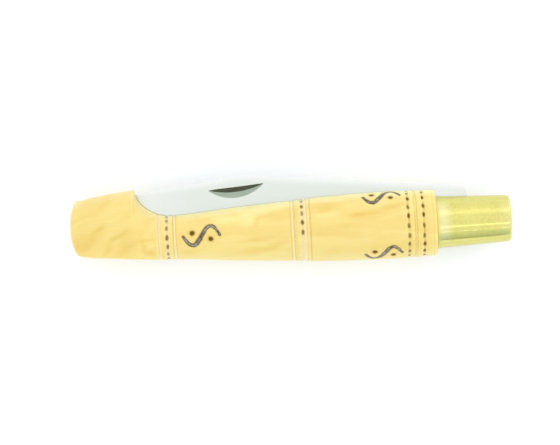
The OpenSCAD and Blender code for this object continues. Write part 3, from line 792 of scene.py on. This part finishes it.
def burnTree(values):
    tree = bpy.data.node_groups.new("burnt_marks", "GeometryNodeTree")
    add = functools.partial(addNode, tree)
    for way in ("INPUT", "OUTPUT"):
        tree.interface.new_socket("Wood", in_out=way, socket_type="NodeSocketGeometry")
    for name, value in values.items():
        kind = type(value).__name__.capitalize()  # Object, Int, Float or Material
        tree.interface.new_socket(name, in_out="INPUT", socket_type="NodeSocket" + kind)
    given = add("NodeGroupInput", out=None).outputs
    rings, strokes, dots = [add("GeometryNodeObjectInfo", {"Object": given[name]}, "Geometry")
                            for name in ("Rings", "Strokes", "Dots")]
    stored = {name: add("GeometryNodeInputNamedAttribute", {"Name": name}, "Attribute")
              for name in ("turn", "radius", "count", "bare", "heat", "width")}

    # The place on the wood, a little ragged
    place = add("GeometryNodeInputPosition")
    ragged = add("ShaderNodeTexNoise", {"Vector": place, "Scale": 1100.0, "Detail": 1.0}, "Color")
    ragged = add("ShaderNodeVectorMath", [ragged, (0.5, 0.5, 0.5)], operation="SUBTRACT")
    ragged = add("ShaderNodeVectorMath", {0: ragged, "Scale": given["Ragged"]}, operation="SCALE")
    position = add("ShaderNodeVectorMath", [place, ragged], operation="ADD")

    # A circle runs round each ring's groove, with a dot at every step along it, a little astray
    circle = add("GeometryNodeCurvePrimitiveCircle", {"Resolution": 240, "Radius": 1.0})
    upright = add("GeometryNodeTransform", {"Geometry": circle, "Rotation": (0, -math.pi / 2, 0)})
    turn = add("ShaderNodeCombineXYZ", {"X": stored["turn"]})
    circles = add("GeometryNodeInstanceOnPoints", {
        "Points": rings, "Instance": upright, "Rotation": turn, "Scale": stored["radius"]})
    lines = add("GeometryNodeRealizeInstances", {"Geometry": circles})
    spots = add("GeometryNodeCurveToPoints", {"Curve": lines, "Count": stored["count"]}, mode="COUNT")
    stray = add("FunctionNodeRandomValue", {
        "Min": (-0.5, -1, -1), "Max": (0.5, 1, 1), "Seed": given["Seed"]}, "Value", data_type="FLOAT_VECTOR")
    stray = add("ShaderNodeVectorMath", {0: stray, "Scale": given["Dot stray"]}, operation="SCALE")
    spots = add("GeometryNodeSetPosition", {"Geometry": spots, "Offset": stray})

    def nearest(geometry, point, element, names):
        # How far the nearest mark is, which one it is, and the numbers stored on it
        near = {"Geometry": geometry, "Sample Position": point}
        found = [add("GeometryNodeProximity", near, "Distance", target_element=element)]
        found.append(add("GeometryNodeSampleNearest", near))
        for name in names:
            found.append(add("GeometryNodeSampleIndex", {
                "Geometry": geometry, "Value": stored[name], "Index": found[1]}, "Value"))
        return found

    # Distances to the rings' dots are measured with everything stretched along the handle, so a dot is
    # shorter there; each dot has a heat of its own
    squash = add("ShaderNodeCombineXYZ", {"X": given["Dot squash"], "Y": 1.0, "Z": 1.0})
    flat = add("GeometryNodeTransform", {"Geometry": spots, "Scale": squash})
    here = add("ShaderNodeVectorMath", [position, squash], operation="MULTIPLY")
    ringNear, which, bare, heat = nearest(flat, here, "POINTS", ("bare", "heat"))
    uneven = add("FunctionNodeRandomValue", {
        "Min": 0.6, "Max": 1.1, "ID": which, "Seed": given["Seed"]}, "Value")
    heat = add("ShaderNodeMath", [uneven, heat], operation="MULTIPLY")

    # A bare ring has dots on its upper part only
    height = add("ShaderNodeSeparateXYZ", {"Vector": position}, "Y")
    fadeFrom, fadeTo = [float(axisY) - depth / 1000 for depth in marks["bareBelow"]]
    below = add("ShaderNodeMapRange", {
        "Value": height, "From Min": fadeFrom, "From Max": fadeTo}, interpolation_type="SMOOTHSTEP")
    bare = add("ShaderNodeMath", [bare, below], operation="MULTIPLY")
    kept = add("ShaderNodeMath", [1.0, bare], operation="SUBTRACT")
    heat = add("ShaderNodeMath", [heat, kept], operation="MULTIPLY")

    strokeNear, which, swell = nearest(strokes, position, "EDGES", ("width",))
    strokeSize = add("ShaderNodeMath", [given["Stroke half width"], swell], operation="MULTIPLY")
    dotNear = add("GeometryNodeProximity", {"Geometry": dots, "Sample Position": position}, "Distance",
                  target_element="POINTS")
    tips = {"ring": (ringNear, given["Dot radius"], heat), "stroke": (strokeNear, strokeSize, 1.0),
            "dot": (dotNear, given["Dot radius"], 1.0)}
    made = {}
    for mark, fades in marks["fades"].items():
        made[mark] = 0.0
        for tip, (full, none) in fades.items():
            near, size, hot = tips[tip]
            share = add("ShaderNodeMath", [near, size], operation="DIVIDE")
            share = add("ShaderNodeMapRange", {
                "Value": share, "From Min": full, "From Max": none, "To Min": 1.0, "To Max": 0.0},
                interpolation_type="SMOOTHSTEP")
            share = add("ShaderNodeMath", [share, hot], operation="MULTIPLY", use_clamp=True)
            made[mark] = add("ShaderNodeMath", [made[mark], share], operation="MAXIMUM")

    wood = given["Wood"]
    for mark, share in made.items():
        wood = add("GeometryNodeStoreNamedAttribute", {
            "Geometry": wood, "Name": mark, "Value": share})
    pit = add("ShaderNodeMath", [made["burn"], made["char"]], operation="MAXIMUM")
    sink = add("ShaderNodeMath", [pit, given["Depth"]], operation="MULTIPLY")
    back = add("ShaderNodeMath", [sink, -1.0], operation="MULTIPLY")
    normal = add("GeometryNodeInputNormal")
    offset = add("ShaderNodeVectorMath", {0: normal, "Scale": back}, operation="SCALE")
    moved = add("GeometryNodeSetPosition", {"Geometry": wood, "Offset": offset})
    whole = add("GeometryNodeRealizeInstances", {"Geometry": moved})

    # The slot's walls keep their own material
    slotIndex = add("GeometryNodeInputMaterialIndex")
    outside = add("FunctionNodeCompare", {"A": slotIndex, "B": 0}, data_type="INT", operation="EQUAL")
    done = add("GeometryNodeSetMaterial", {
        "Geometry": whole, "Selection": outside, "Material": given["Material"]})
    add("NodeGroupOutput", {"Wood": done}, None)
    return tree


def burnMarks(obj):
    strokes, dots, rings = markSources()
    values = {
        "Strokes": strokes, "Dots": dots, "Rings": rings, "Seed": marks["seed"],
        "Dot radius": marks["dotRadius"] / 1000, "Dot squash": marks["dotSquash"],
        "Dot stray": marks["dotStray"] / 1000, "Ragged": marks["ragged"] / 1000,
        "Stroke half width": marks["strokeHalfWidth"] / 1000, "Depth": marks["depth"] / 1000,
        "Material": obj.data.materials[0],
    }
    press = obj.modifiers.new("burnt_marks", "NODES")
    press.node_group = burnTree(values)
    for item in press.node_group.interface.items_tree:
        if item.in_out == "INPUT" and item.name in values:
            press[item.identifier] = values[item.name]
    workIn(obj)
    for source in (strokes, dots, rings):
        bpy.data.objects.remove(source)
    return obj


def makeBlade():
    tang, shoulder, heel, tip = blade["tangRadius"], blade["shoulder"], blade["heel"], blade["tip"]
    rise, tipPart, steps = blade["backStart"] - shoulder, 1.5, blade["acrossSteps"]
    fine = np.concatenate([
        -tang * np.cos(np.linspace(0.02, math.pi / 2, 14)),
        np.linspace(0, shoulder, 20)[1:],
        shoulder + rise * (1 - np.cos(np.linspace(0.01, math.pi / 2, 10))),
        np.linspace(blade["backStart"] + 0.25, heel, 30),
        np.linspace(heel + 0.3, tip - tipPart, blade["stations"] - 80),
        tip - tipPart * np.linspace(0.9, 0, 10) ** 1.6 - 0.002,
    ])
    straight = np.linspace(heel - 6, bellyStart, 120)[:, None]
    straight = np.hstack([straight, bellyHeight + edgeSlope * (straight - bellyStart)])
    edgeCurve = np.vstack([straight, bellyCurve(160)])
    half, edgeHalf = blade["thickness"] / 2, blade["edgeThickness"] / 2
    rings = []
    for s in np.unique(fine):
        top, bottom = float(topOfBlade(s)), float(bottomOfBlade(s))
        ground = np.clip((s - heel + blade["grindFrom"]) / (2 * blade["grindFrom"]), 0, 1)
        ground = ground * ground * (3 - 2 * ground)
        depth = max(top - bottom, 0.02)
        strip = min(blade["strip"], 0.35 * depth)
        broken = min(blade["backBreak"], depth * 0.15)
        t = np.concatenate([[0, broken], np.linspace(broken, strip, 4)[1:],
                            np.linspace(strip, depth, steps)[1:]])
        lean = (half - edgeHalf) / max(depth - blade["strip"], blade["grindWidth"])
        fromEdge = np.hypot(s - edgeCurve[:, :1], top - t - edgeCurve[:, 1:]).min(0)
        thin = np.minimum(half, edgeHalf + fromEdge * lean)
        thick = half * (1 - ground) + thin * ground
        thick[0] = max(thick[0] - broken, 0.02)
        front = np.column_stack([np.full(len(t), pinX - s), pinY + top - t, thick])
        back = front[::-1] * np.array([1, 1, -1])
        rings.append(np.vstack([front, back]))
    mesh = meshFromRings("blade_steel", rings)

    def worn(places):
        s, t = pinX - places[:, 0], places[:, 1] - pinY
        # The back is brighter from wear; towards the tip and the heel the steel is painted lighter, painted
        # light against the shade of the clog and the ferrule
        back = np.clip(1 - (topOfBlade(s) - t) / blade["wornBand"], 0, 1) ** 1.3
        (tipFrom, tipOver, tipMost), (heelFrom, heelOver, heelMost) = blade["paintedLightTip"], blade["paintedLightHeel"]
        ends = np.clip((s - tipFrom) / tipOver, 0, tipMost) + np.clip((heelFrom - s) / heelOver, 0, heelMost)
        return np.maximum(back, ends)

    store(mesh, "worn", worn)
    obj = newObject("blade_steel", mesh)
    mesh.materials.append(newMaterial("ground_steel", bladeSteel))

    # The nail nick is cut by a leaning wheel: its flat side leaves the straight edge, its bevel the other
    nick = {"length": 15.5, "width": 3.0, "side": 1.4, "depth": 0.65, "back": 30.0, "down": 2.8, "angle": 3.7,
            "wheelWidth": 2.0}
    faceLean = math.atan2(half - edgeHalf, blade["width"] - blade["strip"])
    lean = math.atan2(nick["depth"], nick["side"])
    reach = math.hypot(nick["depth"], nick["side"])
    wheel = (nick["length"] ** 2 / 4 + reach ** 2) / (2 * reach)
    bevel = math.pi / 2 - lean - math.atan2(nick["depth"], nick["width"] - nick["side"])
    sweep = np.radians(np.linspace(-40, 40, 220))
    count = len(sweep)
    arcs = []
    for height in (0.0, nick["wheelWidth"]):
        radius = wheel + height * math.tan(bevel)
        arcs.append(np.column_stack([
            radius * np.sin(sweep), wheel - reach - radius * np.cos(sweep), np.full(count, height)]))
    low, high = list(range(count)), list(range(count, 2 * count))
    faces = [low[::-1], high] + [[low[i], low[i + 1], high[i + 1], high[i]] for i in range(count - 1)]
    faces += [[low[-1], low[0], high[0], high[-1]]]
    place = Matrix.Rotation(-math.radians(nick["angle"]), 3, "Z") @ Matrix.Rotation(lean + faceLean, 3, "X")
    points = np.vstack(arcs) @ np.array(place).T
    middle = tip - nick["back"]
    faceZ = half - (nick["down"] - blade["strip"]) * math.tan(faceLean)
    points += [middle, clipLine(middle) - nick["down"], faceZ]
    points[:, 0] = pinX - points[:, 0]
    points[:, 1] += pinY
    mesh = closedMesh("nick_wheel", points, faces)
    # The nick's steep side gets painted shade
    mesh.materials.append(newMaterial("nick_shade_steel", nickSteel))
    mesh.materials.append(newMaterial("coarse_ground_steel", nickGround))
    for polygon in mesh.polygons:
        polygon.material_index = 0 if len(polygon.vertices) > 4 else 1
    cutWith(obj, newObject("nick_wheel", mesh))

    turns = np.linspace(0, 2 * math.pi, 49)[:-1]
    hole = [(pinX + blade["pinHole"] * math.cos(a), pinY + blade["pinHole"] * math.sin(a)) for a in turns]
    cutWith(obj, prism("pin_hole", hole, -3, 3))
    return obj


def makeFerrule():
    ferrule = {
        "length": 20.4,
        "rear": 7.2,
        "mouth": 6.4,
        "wall": 1.0,
        "mouthRound": 0.8,
        "endGap": 0.03,
        "beadAt": 3.0,         # from the rear end
        "beadHalf": (0.3, 0.6),  # at the bead's top and at its foot
        "beadHeight": 0.35,
        "slot": 1.3,           # half the width of the way through for the blade
        "windowEnd": 13.1,     # the wider way through behind the locking end, on the far side
        "windowTurn": 45,
        "rubbed": (1.9, 2.5),  # middle and reach of the band kept bright by handling and by painted light
        "mouthRubbedAndLit": 4.0,
        "around": 200,
    }
    rear = handle["length"]

    def outer(x):
        return ferrule["rear"] + (ferrule["mouth"] - ferrule["rear"]) * x / ferrule["length"]

    def inner(x):
        return outer(x) - ferrule["wall"]

    # The profile in (distance past the handle's shoulder, radius): inside from the rear, then back outside
    gap, length, high = ferrule["endGap"], ferrule["length"], ferrule["beadHeight"]
    bead, (beadTop, beadFoot) = gap + ferrule["beadAt"], ferrule["beadHalf"]
    profile = [(gap, inner(gap) + 0.1), (gap + 0.1, inner(gap)), (bead - beadFoot, inner(bead)),
               (bead - beadTop, inner(bead) - high), (bead + beadTop, inner(bead) - high),
               (bead + beadFoot, inner(bead)), (10.0, inner(10.0)), (length - 0.15, inner(length)),
               (length, inner(length) + 0.15)]
    for turn in np.radians(np.linspace(10, 90, 8)):
        profile.append((length - ferrule["mouthRound"] * (1 - math.cos(turn)),
                        outer(length) - ferrule["mouthRound"] * (1 - math.sin(turn))))
    profile += [(x, outer(x)) for x in np.linspace(18.5, 0.7, 34)]
    profile += [(gap + 0.25, outer(gap)), (gap + 0.07, outer(gap) - 0.07), (gap, outer(gap) - 0.25)]
    profile = np.array(profile)
    radius = profile[:, 1]
    edge = np.arcsin(ferrule["slot"] / radius)
    rings = []
    for q in np.linspace(0, 1, ferrule["around"]):
        angle = edge + (2 * math.pi - 2 * edge) * q
        rings.append(np.column_stack([rear + profile[:, 0], radius * np.cos(angle), radius * np.sin(angle)]))
    mesh = meshFromRings("ferrule_brass", rings)

    def aside(p):
        return np.abs(p[:, 1]) / outer(p[:, 0] - rear)

    def rubbed(p):
        # A band near the rear and the mouth's rim are brighter than the rest, partly from handling and partly
        # painted light that lifts the wood's dark reflection, on the faces turned up and down
        middle, reach = ferrule["rubbed"]
        band = np.clip(1 - np.abs(p[:, 0] - rear - middle) / reach, 0, 1)
        rim = 0.55 * np.clip(1 - (rear + length - p[:, 0]) / ferrule["mouthRubbedAndLit"], 0, 1)
        return np.clip((0.8 - aside(p)) / 0.15, 0, 1) * np.maximum(band, rim)

    store(mesh, "rubbed", rubbed)
    # Painted shade: the brass is darkened towards its sides in the blade's plane, where it reflects the
    # shaded floor beside the knife
    store(mesh, "painted_edge_shade", lambda p: np.clip((aside(p) - 0.7) / 0.1, 0, 1))
    store(mesh, "scuffed", lambda p: np.clip(1 - (p[:, 0] - rear) / 1.5, 0, 1))
    obj = newObject("ferrule_brass", mesh)
    mesh.materials.append(newMaterial("drawn_brass", ferruleBrass))

    # Behind the locking end the way through is wider on the far side, so the ferrule can turn when folded
    reach = math.asin(ferrule["slot"] / inner(10.0)) + math.radians(ferrule["windowTurn"])
    wedge = []
    for x in (rear - 1.0, rear + ferrule["windowEnd"]):
        wedge += [(x, 0, 0.2), (x, 12, 0.2), (x, 12, -6), (x, 16 * math.cos(reach), -16 * math.sin(reach))]
    faces = [[0, 1, 2, 3], [7, 6, 5, 4], [0, 4, 5, 1], [1, 5, 6, 2], [2, 6, 7, 3], [3, 7, 4, 0]]
    cutWith(obj, newObject("window_space", closedMesh("window_space", wedge, faces)))
    return obj


finishPiece(burnMarks(makeHandle()), "handle", "handle", 35)
print("handle done")
finishPiece(makeBlade(), "blade", "blade", 20)
print("blade done")
finishPiece(makeFerrule(), "ferrule", "ferrule", 30)
print("ferrule done")
pin = frame["nodes"]["pivot_pin"]
pin.data.materials.clear()
pin.data.materials.append(newMaterial("steel_wire", pinSteel))
print("pin done")

studio = {
    "floorSide": 1.5,
    "floorColour": "#edf0f0",
    "glowColour": "#d8deff",
    "floorGlow": 0.2,            # the paper is lit a little from behind, so it stays white
    "cameraHeight": 0.56,        # above the handle's axis
    "frameWidth": 0.1528,        # what the picture's width takes in at the axis
    "sensor": 36,
    "roll": -3.33,
    "centre": (56.95, 2.37),     # the picture's middle, in handle millimetres
    # The tent's brightness by direction: the table's front edge is 0, the top 0.5 and the back 1
    "tent": [
        (0.0, 0.42), (0.008, 0.6), (0.02, 0.8), (0.05, 0.89), (0.1, 0.99), (0.21, 1.09), (0.5, 1.11),
        (0.6, 1.14), (0.72, 1.17), (0.76, 1.28), (0.8, 1.36), (0.85, 1.33), (0.9, 1.2), (0.99, 1.1),
    ],
    "lowColour": "#f2fffd",      # the tent's foot in front is cooler
    "lowFades": (0.06, 0.2),
    # Strips that draw the bright lines on the brass, and soft fills low down that only light
    "lamps": {
        "strip": {"place": (0.0, -0.336, 0.77), "size": (1.0, 0.04), "power": 0.17, "seen": True},
        "thin": {"place": (0.0, -0.6, 0.58), "size": (1.0, 0.03), "power": 0.06, "seen": True},
        "fill": {"place": (0.0, -0.5, 0.25), "size": (0.8, 0.3), "power": 0.32, "seen": False},
        "side": {"place": (0.42, 0.16, 0.16), "size": (0.25, 0.25), "power": 0.27, "seen": False},
    },
}


def paper(add):
    # Matt white drawing paper, which gives the knife a soft shadow and no reflection
    return {"Base Color": toLinear(studio["floorColour"]), "Roughness": 0.9,
            "Emission Color": toLinear(studio["glowColour"]), "Emission Strength": studio["floorGlow"]}


def makeTent():
    world = bpy.data.worlds.new("studio")
    world.use_nodes = True
    tree = world.node_tree
    add = functools.partial(addNode, tree)
    towards = add("ShaderNodeTexCoord", out="Generated")
    back = add("ShaderNodeSeparateXYZ", {"Vector": towards}, "Y")
    share = add("ShaderNodeMapRange", {"Value": back, "From Min": -1.0, "From Max": 1.0})
    curve = add("ShaderNodeFloatCurve", {"Value": share}, None)
    brightest = max(value for place, value in studio["tent"])
    points = curve.mapping.curves[0].points
    points[0].location = (0.0, studio["tent"][0][1] / brightest)
    points[1].location = (1.0, studio["tent"][-1][1] / brightest)
    for place, value in studio["tent"][1:]:
        points.new(place, value / brightest)
    curve.mapping.update()
    strength = add("ShaderNodeMath", [curve.outputs[0], brightest], operation="MULTIPLY")
    full, none = studio["lowFades"]
    low = add("ShaderNodeMapRange", {
        "Value": share, "From Min": full, "From Max": none, "To Min": 1.0, "To Max": 0.0},
        interpolation_type="SMOOTHSTEP")
    cool = layered(add, "#ffffff", [(low, 1.0, studio["lowColour"])])
    fill(tree, tree.nodes["Background"], {"Strength": strength, "Color": cool})
    bpy.context.scene.world = world


def makeStudio():
    side = studio["floorSide"]
    mesh = bpy.data.meshes.new("floor")
    corners = [(-side, -side, 0), (side, -side, 0), (side, side, 0), (-side, side, 0)]
    mesh.from_pydata(corners, [], [(0, 1, 2, 3)])
    mesh.materials.append(newMaterial("white_paper", paper))
    floor = newObject("floor", mesh)
    makeTent()

    for name, given in studio["lamps"].items():
        data = bpy.data.lights.new(name, "AREA")
        data.shape = "RECTANGLE"
        data.size, data.size_y = given["size"]
        data.energy = given["power"]
        lamp = newObject(name, data)
        lamp.location = given["place"]
        lamp.rotation_euler = Vector(given["place"]).to_track_quat("Z", "Y").to_euler()
        lamp.visible_glossy = given["seen"]

    data = bpy.data.cameras.new("camera")
    data.sensor_width = studio["sensor"]
    data.lens = studio["sensor"] * studio["cameraHeight"] / studio["frameWidth"]
    data.clip_start, data.clip_end = 0.05, 20
    camera = newObject("camera", data)
    camera.location = toFrame([*studio["centre"], studio["cameraHeight"] * 1000])
    camera.rotation_euler = (0, 0, math.radians(studio["roll"]))
    bpy.context.scene.camera = camera
    bpy.context.scene.view_settings.view_transform = "Standard"


makeStudio()
print("studio done")
